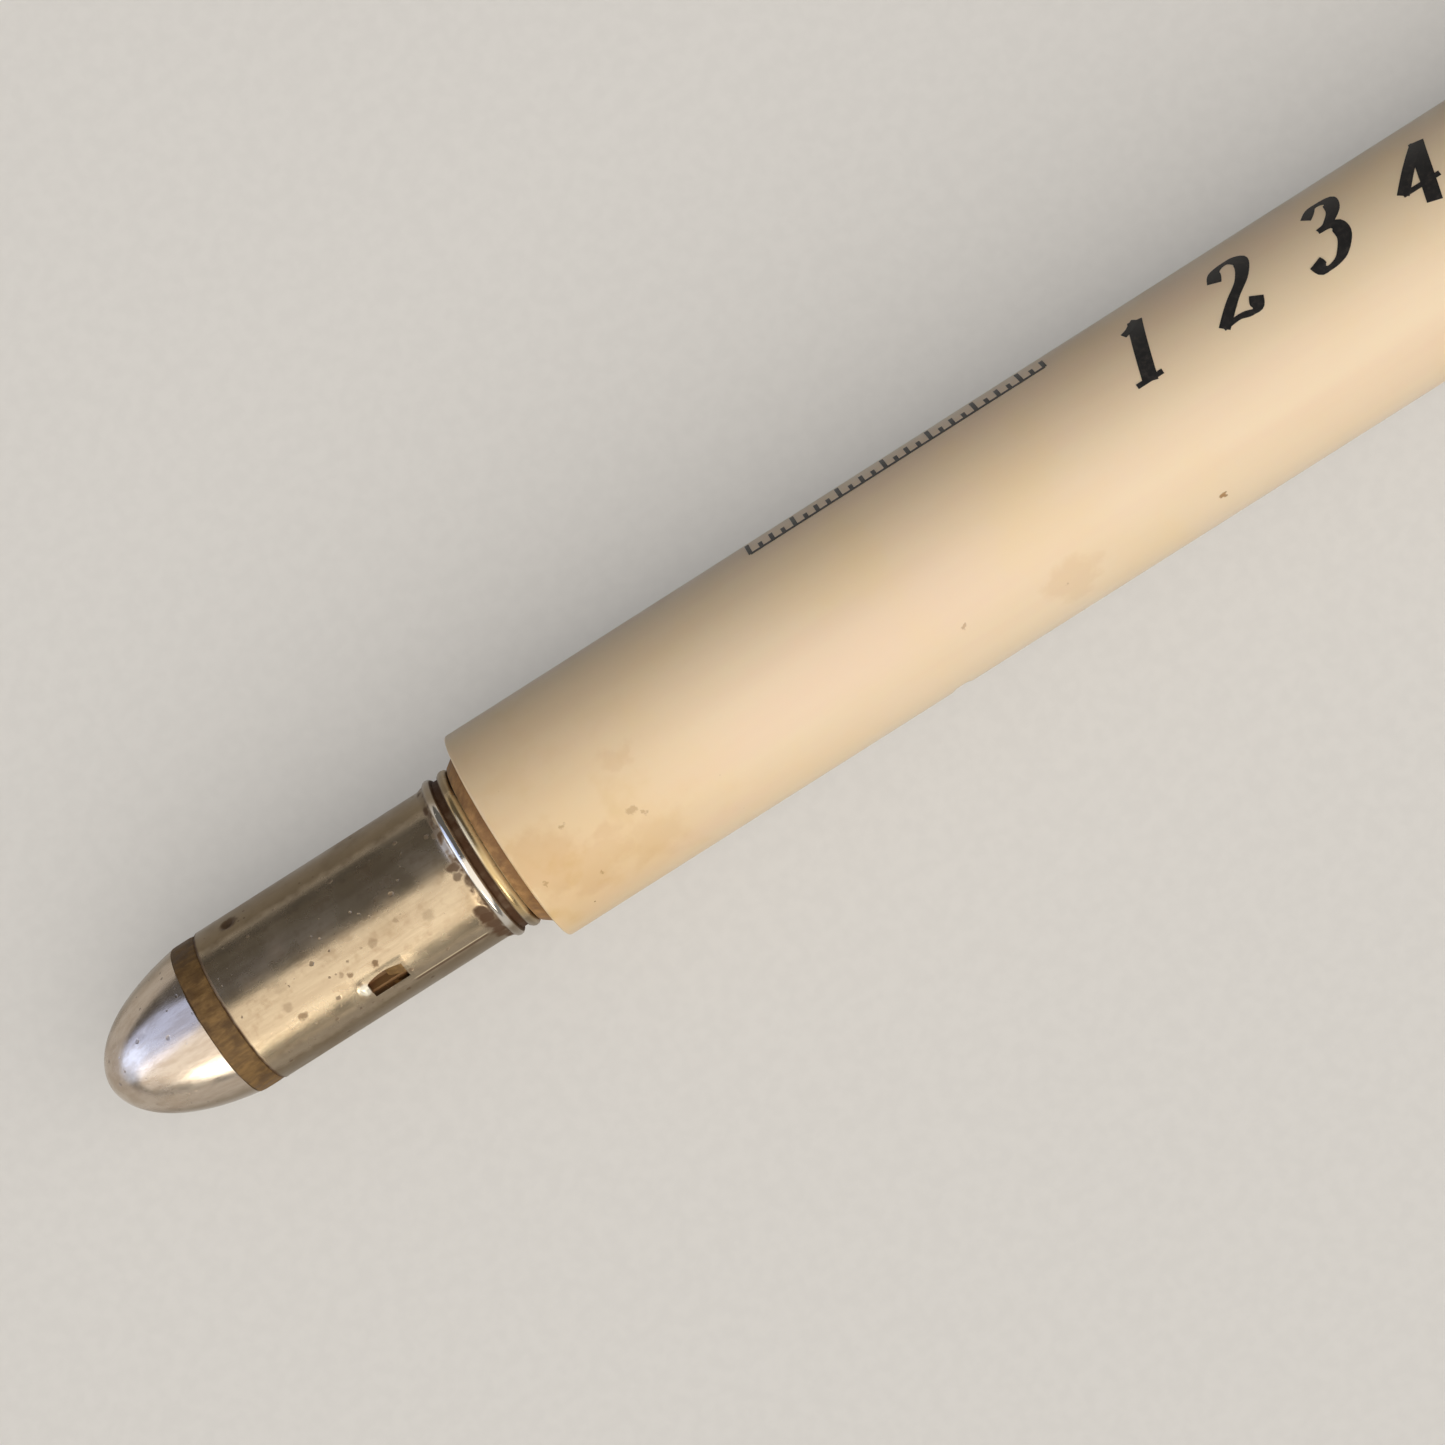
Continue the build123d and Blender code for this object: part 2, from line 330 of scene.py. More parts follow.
# Handling: faint lengthwise scratches and a mottle of skin grease, for the bump and the gloss.
handling, given, result = group("handling", ("Place", "Fineness"), ("Height", "Grease"))
scratches = noise(stretched(given["Place"], 0.12), given["Fineness"], 5, 0.7)
fill(result, Height=scratches, Grease=noise(given["Place"], 0.55, 4, 0.6))


def speckled(place, density, size, share):
    """The specks at a place, with so many cells to the millimetre."""
    return node("Group", node_tree=specks, Place=place, Density=density, Size=size, Share=share)


def marks(place, radius, spots):
    """Mask of single soft-edged marks. Each has a station, a turn in degrees, a reach in millimetres and a
    strength, and fades out from half its reach."""
    mask = 0.0
    for station, turn, reach, strength in spots:
        centre = (station, -radius * sin(radians(turn)), radius * cos(radians(turn)))
        off = vector("DISTANCE", place, centre, output="Value")
        mask = largest(mask, step(off, reach, reach * 0.5, 0, strength))
    return mask


def shaken(place, scale, reach):
    """The place, moved about by a noise by up to half the reach, so that marks on it have ragged edges."""
    centred = vector("SUBTRACT", noise(place, scale, 3)["Color"], (0.5, 0.5, 0.5))
    return vector("ADD", place, vector("MULTIPLY", centred, (reach, reach, reach)))


stain_reach = 13.0
shell_stains = (
    (-40, 22, 1.9, 0.3), (-38.6, 36, 1.6, 0.24), (-37.3, 32, 1.2, 0.22), (-35.6, 44, 1.6, 0.16),
    (-35.3, -6, 0.7, 0.14), (-16.5, 47, 1.4, 0.16), (-30, 150, 2.8, 0.25), (4, 205, 3.4, 0.22),
    (24, -110, 2.6, 0.2),
)
shell_dots = (
    (-38.55, 10.6, 0.15, 0.5), (-35.9, 21.8, 0.28, 0.42), (-35.55, 26, 0.18, 0.45), (-38.3, 42.3, 0.13, 0.5),
    (-40.35, 30.5, 0.12, 0.5), (-21.1, 34.2, 0.14, 0.5), (-16.7, 46.7, 0.15, 0.5), (-9.7, 53.7, 0.2, 0.95),
)

celluloid, shader, place = material("cream_celluloid")
streaks = noise(stretched(place, 0.07), 0.42, 3)
clouds = noise(place, 0.16, 4, 0.55)
near_side = step(node("SeparateXYZ", place)["Y"], 2.4, -1.4, 0.45, 1)
by_mouth = step(station_of(place), mouth + stain_reach, mouth) * near_side
stained = by_mouth * step(noise(place, 0.75, 3), 0.48, 0.76, 0.5, 0.8)
dots = marks(shaken(place, 4.5, 0.5), shell_radius, shell_dots)
flecked = largest(speckled(place, 0.35, 0.05, 0.16), dots, speckled(place, 1.3, 0.07, 0.4) * by_mouth)
creamy = painted(
    (248, 226, 194),
    (step(streaks, 0.42, 0.68), (246, 220, 191)),
    (step(clouds, 0.45, 0.75, 0, 0.8), (248, 222, 181)),
    (stained, (226, 190, 128)),
    (marks(shaken(place, 1.1, 2.2), shell_radius, shell_stains), (205, 156, 92)),
    (flecked * 0.88, (157, 110, 38)),
)
worn = node("Group", node_tree=handling, Place=place, Fineness=6)
fill(shader, Base_Color=creamy, Roughness=step(worn["Grease"], 0.3, 0.7, 0.3, 0.4),
     Normal=relief(worn["Height"], 0.08, 0.03), IOR=1.5, Subsurface_Weight=0.12,
     Subsurface_Radius=(1.0, 0.6, 0.3), Subsurface_Scale=0.0006)


def shell_shape(x, a, r):
    """The outer wall swells by a hundredth here and there, and the chip is a small bell-shaped hollow."""
    along, round_it = (x - chip_station) / chip_half_length, (a - chip_turn) * r / chip_half_width
    chip = np.exp(-(along**4) - round_it**2)
    outer = r > (shell_radius + liner_radius) / 2
    return r + outer * (shell_swell * (wobble(x * 0.1, a, 3) - 1) - chip_depth * chip)


shell_profile = rounded([
    (mouth, liner_radius, 0.08),
    (mouth, shell_radius, 0.13),
    (chip_station - 0.8, shell_radius, 0),
    (chip_station + 0.8, shell_radius, 0),
    (barrel_end, shell_radius, 0.13),
    (barrel_end, liner_radius, 0.08),
])
chip_steps = np.stack([np.linspace(-0.72, 0.72, 25) + chip_station, np.full(25, shell_radius)], axis=1)
after_chip = int(np.argmax(shell_profile[:, 0] > chip_station + 0.7))
shell_profile = spaced(np.insert(shell_profile, after_chip, chip_steps, axis=0), 1.6)
shell_solid = turned(shell_profile, 288, shell_shape)
piece("celluloid_tube", shell_solid, "barrel", celluloid, "barrel_shell")

# Barrel liner.  A tube of brown vulcanised fibre, which stiffens the celluloid.  Its end was turned to a
# short cone in front of the shell, where the bullet's bead comes to rest, and painted shade with some dirt
# darkens it where the two meet.
lip_end = ends("barrel_liner")[0]
bore_radius = liner_radius - 0.55
lip_land = 0.12
glue_line, saw_back = 0.005, 0.01

fibre, shader, place = material("brown_fibre")
laid = noise(stretched(place, 0.25), 3.2, 6, 0.65)
brown_tone = painted(
    (150, 110, 66),
    (step(laid, 0.35, 0.7), (188, 145, 92)),
    (step(noise(place, 0.9, 4), 0.5, 0.75, 0, 0.7), (86, 60, 38)),
    # Painted shade with some dirt: darker where the cone meets the shell's rim.
    (step(station_of(place), mouth - 0.5, mouth - 0.05, 0, 0.55), (126, 86, 46)),
)
grained(shader, brown_tone, laid, 0.5, 0.72, 0.35, 0.05)
fill(shader, Specular_IOR_Level=0.3)


def lip_shape(x, a, r):
    """The turned cone is a little ragged, most at its edge."""
    ahead = np.clip((mouth - x) / (mouth - lip_end), 0, 1) * (r > bore_radius + 0.02)
    return r + ahead * 0.03 * (wobble(x * 4, a * 2, 11) - 0.4)


lip_profile = spaced(rounded([
    (lip_end, bore_radius, 0.03),
    (lip_end, bore_radius + lip_land, 0.04),
    (mouth, liner_radius - glue_line, 0),
    (barrel_end - saw_back, liner_radius - glue_line, 0.06),
    (barrel_end - saw_back, bore_radius, 0.06),
]), 3.0)
piece("fibre_tube", turned(lip_profile, 224, lip_shape), "barrel", fibre, "barrel_liner")

# Bullet sleeve.  A drawn brass tube, nickelled: two rolled beads stop it at the mouth, four slits let its
# inner end spring on the stub, a tongue is lanced in through a window, and two punch marks hold the plug.
sleeve_front, sleeve_end = ends("bullet_sleeve")
slide_gap, sleeve_wall = 0.05, 0.25
sleeve_radius = bore_radius - slide_gap
sleeve_bore = sleeve_radius - sleeve_wall
rear_bead, front_bead = mouth - 0.88, mouth - 1.625
rear_width, front_width, bead_height = 0.5, 0.45, 0.22
beads = ((front_bead, front_width), (rear_bead, rear_width))
foot, foot_flare, flare_length = front_bead - front_width / 2, 0.07, 0.3
front_edge, end_edge, edge_drop = 0.08, 0.07, 0.07
window_middle, window_length, window_turn = mouth - 6.82, 1.6, radians(40.5)
window_top, window_bottom, window_bow = 0.26, 0.56, 0.16
window_start, window_finish = window_middle - window_length / 2, window_middle + window_length / 2
lip_rise, pucker_depth = 0.12, 0.025
punch_station, punch_turns = sleeve_front + 1.6, (radians(-62), radians(118))
punch_depth, punch_depth_inside = 0.16, 0.15
slit_start, slit_half = sleeve_end - 6.0, 0.2


def tube_wall(stations, angles, outer, inner, solid):
    """Closed wall between two surfaces over one grid of stations and angles. Cells where solid is false are
    left open, and every edge between a solid and an open cell, and both ends, get a face from the outer to
    the inner surface."""
    n, m = angles.shape
    points = np.vstack([ringed(stations[:, None], r, angles).reshape(-1, 3) for r in (outer, inner)])

    def faced(cells, *corners):
        """A face for each of the cells, from corners as steps along, round and inwards from its own point."""
        i, j = np.nonzero(cells)
        return np.stack([(i + on) * m + (j + by) % m + deep * n * m for on, by, deep in corners], axis=-1)

    here = np.vstack([solid, np.zeros((1, m), bool)])
    ahead_of = np.vstack([np.zeros((1, m), bool), solid])
    beside = np.roll(solid, 1, axis=1)
    faces = [
        faced(solid, (0, 0, 0), (1, 0, 0), (1, 1, 0), (0, 1, 0)),
        faced(solid, (0, 0, 1), (0, 1, 1), (1, 1, 1), (1, 0, 1)),
        faced(here & ~ahead_of, (0, 0, 0), (0, 1, 0), (0, 1, 1), (0, 0, 1)),
        faced(~here & ahead_of, (0, 1, 0), (0, 0, 0), (0, 0, 1), (0, 1, 1)),
        faced(solid & ~beside, (1, 0, 0), (0, 0, 0), (0, 0, 1), (1, 0, 1)),
        faced(~solid & beside, (0, 0, 0), (1, 0, 0), (1, 0, 1), (0, 0, 1)),
    ]
    used = np.unique(np.concatenate([rows.ravel() for rows in faces]))
    renumber = np.zeros(len(points), int)
    renumber[used] = np.arange(len(used))
    return points[used], [renumber[rows] for rows in faces]


def merged(*runs, apart):
    """All the values of several runs in order. A run's values stand, and the later runs only fill in where
    nothing is nearer than apart."""
    kept = np.array(runs[0], float)
    for run in runs[1:]:
        run = np.array(run, float)
        kept = np.append(kept, run[np.abs(run[:, None] - kept).min(axis=1) > apart])
    return np.sort(kept)


def hump(value, half, edge):
    """One inside half and nought outside half + edge, with a smooth cosine fall between them."""
    t = np.clip((np.abs(value) - half) / edge, 0, 1)
    return 0.5 + 0.5 * np.cos(pi * t)


stations = merged(
    [sleeve_front + off for off in (0, 0.03, front_edge, 0.1, 0.13)]
    + [window_start, window_finish, slit_start]
    + [sleeve_end - off for off in (0.11, 0.09, end_edge, 0)],
    *(centre - width / 2 * np.cos(np.linspace(0, pi, 7)) for centre, width in beads),
    np.arange(punch_station - 0.42, punch_station + 0.43, 0.07),
    np.arange(window_start - 0.6, window_finish + 0.2, 0.09),
    np.linspace(foot - flare_length, foot, 5),
    np.arange(sleeve_front, rear_bead, 0.35),
    np.arange(rear_bead, sleeve_end, 1.0),
    apart=0.018,
)
turn_low, turn_high = window_turn - window_top / sleeve_radius, window_turn + window_bottom / sleeve_radius
slit_edges = [turn * pi / 2 + side * slit_half / sleeve_radius for turn in range(-1, 3) for side in (-1, 1)]
turn_marks = merged(
    [turn_low, turn_high, *slit_edges],
    [turn + offset for turn in punch_turns for offset in np.linspace(-0.12, 0.12, 9)],
    np.linspace(-pi, pi, 225)[:-1],
    apart=0.012,
)
turn_marks = turn_marks[(turn_marks > -pi) & (turn_marks <= pi)]
inside_window = np.clip((stations - window_middle) / (window_length / 2), -1, 1)
bow = window_bow / sleeve_radius * (1 - inside_window**2)
lean = np.interp(turn_marks, [turn_low - 0.22, turn_low, turn_high], [0, 1, 0])
angles = turn_marks - bow[:, None] * lean

x = stations[:, None]
outer = np.full(angles.shape, sleeve_radius)
outer -= edge_drop * np.clip(1 - (x - sleeve_front) / front_edge, 0, 1) ** 1.5
outer -= edge_drop * np.clip(1 - (sleeve_end - x) / end_edge, 0, 1)
for centre, width in beads:
    outer += bead_height * np.sqrt(np.clip(1 - ((x - centre) / (width / 2)) ** 2, 0, 1))
outer += foot_flare * np.clip((x - foot + flare_length) / flare_length, 0, 1) * (x <= foot)
across_window = (angles - window_turn) * sleeve_radius
lip = hump(across_window + 0.02, 0.16, 0.22) * hump(x - window_start + 0.14, 0.08, 0.2)
puckered = hump(across_window, 0.45, 0.3) * hump(x - window_middle, window_length / 2 + 0.1, 0.4)
outer += lip_rise * lip - pucker_depth * puckered
inner = np.full(angles.shape, sleeve_bore)
for turn in punch_turns:
    off = np.hypot(x - punch_station, (angles - turn) * sleeve_radius)
    outer -= punch_depth * hump(off, 0.13, 0.19)
    inner -= punch_depth_inside * hump(off, 0.16, 0.2)
rolled = 1 - hump(x - (front_bead + rear_bead) / 2, 0.75, 0.1)
outer += rolled * 0.008 * (wobble(x * 0.5, angles, 5) - 0.6)

cell_x = ((stations[1:] + stations[:-1]) / 2)[:, None]
cell_turn = turn_marks + np.diff(turn_marks, append=turn_marks[:1] + 2 * pi) / 2
in_window = (cell_turn > turn_low) & (cell_turn < turn_high)
in_window = in_window & (np.abs(cell_x - window_middle) < window_length / 2)
off_quarter = (cell_turn + pi / 4) % (pi / 2) - pi / 4
in_slit = (cell_x > slit_start) & (np.abs(off_quarter) < slit_half / sleeve_radius)

# Tarnish: brown films in soft patches, clusters of pits where the plate has gone, and long polishing marks.
tarnish, given, result = group("tarnish", ("Place", "Patch"), ("Film", "Pits", "Streaks"))
patches = noise(given["Place"], given["Patch"], 4, 0.6)
clustered = speckled(given["Place"], 3.4, 0.22, 0.45) * step(noise(given["Place"], 0.5, 2), 0.45, 0.6)
fill(result, Film=step(patches, 0.5, 0.78), Pits=largest(clustered, speckled(given["Place"], 1.7, 0.2, 0.45)),
     Streaks=noise(stretched(given["Place"], 0.08), 2.6, 4, 0.65))


def nickel_plate(name, bright, dull, film, gloss, patch=0.4):
    """Worn nickel: bright plate that is dulled along its streaks, a brown film, and dark pits in it. Returns
    what material returns, and the patterns of its colour, its roughness and its pits by name."""
    made, shader, place = material(name)
    aged = node("Group", node_tree=tarnish, Place=place, Patch=patch)
    worn = node("Group", node_tree=handling, Place=place, Fineness=9)
    colour = painted(bright, (step(aged["Streaks"], 0.38, 0.66), dull), (aged["Film"] * 0.4, film))
    rough = step(worn["Grease"], 0.3, 0.7, gloss, gloss + 0.12) + aged["Film"] * 0.14
    sunk = worn["Height"] * 0.25 - aged["Pits"]
    fill(shader, Metallic=1, Roughness=rough, Normal=relief(sunk, 0.35, 0.03))
    return made, shader, place, {"colour": colour, "rough": rough, "pits": aged["Pits"]}


def turn_of(place):
    """The place's angle round the axis, in radians."""
    parts = node("SeparateXYZ", place)
    return reckon("ARCTAN2", parts["Y"] * -1, parts["Z"])


sleeve_rust = (
    (-43.2, 35, 0.42, 0.9), (-43.15, 42, 0.48, 0.95), (-43.1, 50, 0.5, 0.9), (-43.1, 59, 0.45, 0.9),
    (-43.05, 67, 0.4, 0.8), (-43.15, -2, 0.34, 0.8), (-43.2, 5, 0.24, 0.6), (-43, -26, 0.3, 0.5),
    (-52.2, -62, 0.5, 0.6), (-52.2, 118, 0.5, 0.6),
)
sleeve_freckles = (
    (-51.4, 29.9, 0.24, 0.7), (-51.7, 18.4, 0.28, 0.3), (-48.9, 22.7, 0.17, 0.7), (-47.83, 25.2, 0.18, 0.8),
    (-47.45, 12.2, 0.24, 0.35), (-45, 16.3, 0.32, 0.3), (-46.2, 7.6, 0.14, 0.35), (-49.2, 19.4, 0.13, 0.4),
    (-51.5, 4.0, 0.36, 0.16), (-47.1, 172, 0.3, 0.6), (-50.8, -128, 0.4, 0.5),
)
seam_turn, top_turn = radians(55.3), 0.087

sleeve_plate, shader, place, plate = nickel_plate(
    "sleeve_nickel", (192, 174, 146), (181, 162, 135), (140, 112, 76), 0.19
)
along, dirt = station_of(place), noise(place, 2.2, 4)
aside = abs(turn_of(place) - top_turn) + dirt * 0.14
in_groove = step(abs(along - (front_bead + 0.36)), 0.27, 0.15) * step(dirt, 0.3, 0.6, 0.85, 1)
by_foot = step(abs(along - (front_bead - 0.3)), 0.24, 0.08) * step(dirt, 0.38, 0.6, 0.15, 0.85)
by_band = step(along, sleeve_front + 0.16, sleeve_front + 0.04) * step(dirt, 0.35, 0.62, 0.8, 1)
# The seam from the window towards the beads: a painted highlight along its edge, and a painted shadow with
# dirt just beside it.
from_seam = turn_of(place) - seam_turn
seam_run = step(along, -47.1, -46.8) * step(along, -43.4, -43.7)
seam_highlight = step(abs(from_seam), 0.013, 0.006, 0, 0.8) * seam_run
seam_shadow_and_dirt = step(abs(from_seam - 0.034), 0.03, 0.012, 0, 0.75) * seam_run
rust = marks(shaken(place, 3.5, 0.35), sleeve_radius, sleeve_rust)
freckles = marks(shaken(place, 4, 0.3), sleeve_radius, sleeve_freckles)
# Painted highlight on the raised lip by the window, which is also rubbed bright.
lip_polish_and_highlight = marks(place, sleeve_radius + 0.1, ((window_start - 0.18, 38.5, 0.36, 1.0),))
off_axis = vector("LENGTH", vector("MULTIPLY", place, (0, 1, 1)), output="Value")
bead_tops = step(off_axis, sleeve_radius + 0.12, sleeve_radius + 0.18)
# Dirt in the groove, at the bead's foot and by the band, rust, pits, and the painted seam shadow.
dirt_and_seam_shadow = largest(in_groove, by_foot, by_band, rust, plate["pits"] * 0.5, seam_shadow_and_dirt)
dirt_and_seam_shadow = dirt_and_seam_shadow * (1 - bead_tops) * (1 - lip_polish_and_highlight)
# Painted shade: the plate is coloured browner on its flanks, beyond 54 degrees round from the top.
brown_tone = step(aside, radians(54), radians(62), 0, 0.72)
to_brass = step(along, rear_bead - 0.4, rear_bead - 0.3)
near_edge, far_edge = radians(48), radians(60)
# Painted highlight: the rear bead's flank towards the mouth is pale brass and less metallic, so that it looks
# lit.
bead_flank_highlight = step(abs(along - (rear_bead + 0.18)), 0.17, 0.07) * step(aside, near_edge, far_edge, 0.9, 0.2)
plated = painted(
    plate["colour"],
    (step(dirt, 0.5, 0.72, 0, 0.35), (150, 124, 96)),
    # Painted shade: greyer beyond 43 degrees round from the top.
    (step(aside, radians(43), radians(50), 0, 0.6), (140, 128, 112)),
    (brown_tone, (112, 95, 68)),
    (freckles, (96, 72, 48)),
    (seam_highlight, (240, 224, 190)),
    # Painted shade: the bare crowns lose their pale colour towards the flanks.
    (bead_tops * step(aside, near_edge, far_edge, 0.85, 0.1),
     painted((218, 213, 204), (to_brass, (196, 170, 122)))),
    (bead_flank_highlight, (226, 200, 152)),
    (lip_polish_and_highlight, (244, 236, 216)),
    (dirt_and_seam_shadow, (84, 57, 36)),
)
metal = step(dirt_and_seam_shadow, 0, 1, 1, 0) * step(lip_polish_and_highlight, 0, 1, 1, 0.35)
metal = metal * step(bead_flank_highlight, 0, 1, 1, 0.3)
keener = bead_tops * step(to_brass, 0, 1, 0.5, 0)
rough = plate["rough"] * (1 - keener) + (dirt_and_seam_shadow * 0.3 + brown_tone * 0.16)
fill(shader, Base_Color=plated, Metallic=metal, Roughness=rough, Specular_IOR_Level=0.12)

sleeve_solid = tube_wall(stations, angles, outer, inner, ~(in_window | in_slit))
piece("sleeve_tube", sleeve_solid, "bullet", sleeve_plate, "bullet_sleeve", 40)

# Tongue.  The flap that was lanced out of the window, and has rusted since.  It hangs on the window's rear
# edge and leans in, so that its end bites into the stub.
tongue_width, thickness, tongue_length, tongue_root, tongue_drop = 0.55, 0.15, 0.75, 0.2, 0.38


def closed_bar(upper, lower):
    """Points and faces of a bar between two skins of points, which are joined all round."""
    loops = np.concatenate([upper, lower[:, ::-1]], axis=1)
    n, m = loops.shape[:2]
    caps = [np.arange(m)[None], (n - 1) * m + np.arange(m)[None, ::-1]]
    return loops.reshape(-1, 3), [grid_faces(n, m, False, True), *caps]


bend = np.linspace(0, 1, 9)[:, None]
tongue_x = window_finish + tongue_root - (tongue_length + tongue_root) * bend
sunk = tongue_drop * np.clip((bend - 0.2) / 0.8, 0, 1) ** 1.3
side = np.linspace(-tongue_width / 2, tongue_width / 2, 7)
middle = (sleeve_radius + sleeve_bore) / 2 - sunk
heights = (middle + thickness / 2, middle - thickness / 2)
skins = [ringed(tongue_x, r, window_turn + side / r) for r in heights]

rusty, shader, place = material("rusted_edge")
flaked = noise(place, 5, 5, 0.7)
brown_tone = painted((118, 90, 54), (step(flaked, 0.35, 0.7), (148, 117, 73)))
grained(shader, brown_tone, flaked, 0.55, 0.8, 0.5, 0.04)
fill(shader, Metallic=0.3, Specular_IOR_Level=0.2)
piece("sleeve_tongue", closed_bar(*skins), "bullet", rusty, "bullet_sleeve")

# Nose plug.  Turned hardwood, stained dark: its shoulder shows as a thin uneven band, and its two spigots
# are pushed into the cap and into the sleeve.
band_front = ends("nose_cap")[1]
plug_front, plug_back = ends("nose_plug")
spigot_radius = sleeve_bore - 0.03
cap_spigot_front, cap_spigot_back = 1.9, 2.95
groove_half, groove_depth = 0.55, 0.3

plug_wood, shader, place = material("stained_plug")
grain = noise(stretched(place, 0.3), 4, 6, 0.7)
crusted = step(noise(place, 1.6, 4), 0.45, 0.72, 0, 0.7)
stained = painted((106, 80, 47), (step(grain, 0.35, 0.68), (138, 108, 66)), (crusted, (82, 60, 36)))
grained(shader, stained, grain, 0.45, 0.7, 0.5, 0.06)
fill(shader, Specular_IOR_Level=0.2)


def band_shape(x, a, r):
    """The shoulder's skin is worn a few hundredths below the plate, and its two edges are nibbled."""
    shoulder = r > spigot_radius + 0.1
    from_edge = np.minimum(x - band_front, sleeve_front - x)
    nibble = np.clip(1 - from_edge / 0.18, 0, 1) * (0.5 + wobble(x * 3, a * 4, 21))
    return r - shoulder * (0.05 + 0.03 * wobble(x * 2, a * 3, 22) + 0.05 * nibble)


plug_profile = spaced(rounded([
    (plug_front, 0, 0),
    (plug_front, cap_spigot_front, 0.3),
    (band_front, cap_spigot_back, 0),
    (band_front, sleeve_radius, 0.05),
    (sleeve_front, sleeve_radius, 0.05),
    (sleeve_front, spigot_radius, 0),
    (punch_station - groove_half, spigot_radius, 0.05),
    (punch_station - groove_half, spigot_radius - groove_depth, 0.05),
    (punch_station + groove_half, spigot_radius - groove_depth, 0.05),
    (punch_station + groove_half, spigot_radius, 0.05),
    (plug_back, spigot_radius, 0.1),
    (plug_back, 0, 0),
]), 0.16)
piece("plug_turning", turned(plug_profile, 160, band_shape), "bullet", plug_wood, "nose_plug")

# Nose cap.  A bullet point, deep drawn from thin brass and nickelled, hollow, with the small dents and
# the wear of years in pockets.
nose_tip = ends("nose_cap")[0]
cap_length, cap_radius, cap_wall, cap_edge = band_front - nose_tip, sleeve_radius - 0.05, 0.3, 0.04
cap_dents = (
    (-58, 22, 0.5, 0.02), (-57.3, -23, 0.16, 0.04), (-57.2, 58, 0.45, 0.02),
    (-55.9, 8, 0.5, 0.012), (-56.9, 171, 0.6, 0.03), (-58.6, -95, 0.4, 0.02),
)
cap_spots = ((-57.15, -23, 0.2, 0.7), (-57.6, 34, 0.12, 0.5), (-56.1, -8, 0.12, 0.5))


def bullet_curve(radius, length, count):
    """Cubic curve from the tip on the axis to the base: its handles are 0.235 of the radius square to the
    axis, and 0.86 of the length back along a flank that leans in by 9 degrees."""
    t = np.linspace(0, 1, count)[:, None]
    tip, base = np.array((band_front - length, 0)), np.array((band_front, radius))
    first = tip + (0, 0.235 * radius)
    second = base - (0.86 * length, 0.86 * length * tan(radians(9)))
    return (1 - t) ** 3 * tip + 3 * t * (1 - t) ** 2 * first + 3 * t**2 * (1 - t) * second + t**3 * base


def dented(x, a, r):
    """Shallow bell-shaped hollows in the outer skin, each with a station, a turn in degrees, a width and a
    depth, and a faint unevenness that dies out towards the tip."""
    low = 0
    outer = r > np.interp(x, inner_curve[:, 0], inner_curve[:, 1]) + cap_wall * 0.4
    for station, turn, width, depth in cap_dents:
        off = np.hypot(x - station, np.angle(np.exp(1j * (a - radians(turn)))) * r) / width
        low = low + depth * np.exp(-(off**2) * 2)
    return r - outer * (low + 0.012 * (1 + wobble(x * 0.9, a, 31)) * np.clip(r / 2, 0, 1))


cap_plate, shader, place, plate = nickel_plate(
    "cap_nickel", (198, 184, 168), (184, 168, 150), (152, 122, 88), 0.16, 0.3
)
aside = abs(turn_of(place)) + noise(place, 1.4, 3) * 0.2
off_tip = step(station_of(place), nose_tip + 0.1, nose_tip + 1.6)
# Painted shade: the cap is coloured browner on its flanks, beyond 58 degrees round from the top, away from
# the tip.
brown_tone = step(aside, radians(58), radians(74), 0, 0.75) * off_tip
spotted = largest(marks(shaken(place, 5, 0.2), 2.6, cap_spots), plate["pits"] * 0.45)
fill(shader, Base_Color=painted(plate["colour"], (brown_tone, (128, 110, 82)), (spotted, (88, 70, 52))))
outer_curve = bullet_curve(cap_radius, cap_length, 60)
inner_curve = bullet_curve(cap_radius - cap_wall, cap_length - cap_wall, 24)
base_edge = rounded([
    (*outer_curve[-2], 0),
    (band_front, cap_radius, cap_edge),
    (band_front, cap_radius - cap_wall, cap_edge),
    (*inner_curve[-2], 0),
], 4)[1:-1]
cap_profile = np.vstack([outer_curve[:-1], base_edge, inner_curve[-2::-1]])
piece("cap_shell", turned(cap_profile, 224, dented), "bullet", cap_plate, "nose_cap", 50)

# Pencil stub.  Two slats of incense cedar, glued on either side of the lead and turned round, then cut to a
# point with a knife.  The tongue has ploughed a short score in the upper one.
stub_back, cone_end = ends("stub_slat_upper")
stub_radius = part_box("stub_slat_upper")[1][2] / MM
cone_start = stub_back + 34.0
lead_hole = 1.12
score_end, score_half, score_depth = window_finish + 0.08, 0.355, 0.38

cedar, shader, place = material("bare_cedar")
grown = stretched(place, 0.05)
wander = vector("MULTIPLY", noise(grown, 0.8, 3)["Color"], (0, 1.4, 1.4))
years = node("TexWave", Vector=vector("ADD", grown, wander), wave_type="BANDS", bands_direction="Y",
             Scale=0.55, Distortion=1.6, Detail=3.0, Detail_Scale=1.5)["Fac"]
pores = noise(grown, 9, 5, 0.7)
cut_edge = station_of(place) + noise(place, 1.3, 2) * 1.6
shortened = vector("MULTIPLY", shaken(place, 1.8, 0.5), (0.55, 1, 1))
window_spot = (window_middle * 0.55, -stub_radius * sin(window_turn), stub_radius * cos(window_turn))
off_window = vector("DISTANCE", shortened, window_spot, output="Value")
wooden = painted(
    (176, 122, 82),
    (step(years, 0.1, 0.9), (142, 90, 58)),
    (step(pores, 0.5, 0.7, 0, 0.5), (108, 66, 42)),
    (step(cut_edge, cone_start + 0.4, cone_start + 1) * 0.75, (206, 160, 118)),
    (step(off_window, 0.95, 0.45, 0, 0.9), (126, 96, 58)),
)
grained(shader, wooden, pores, 0.5, 0.7, 0.5, 0.06)


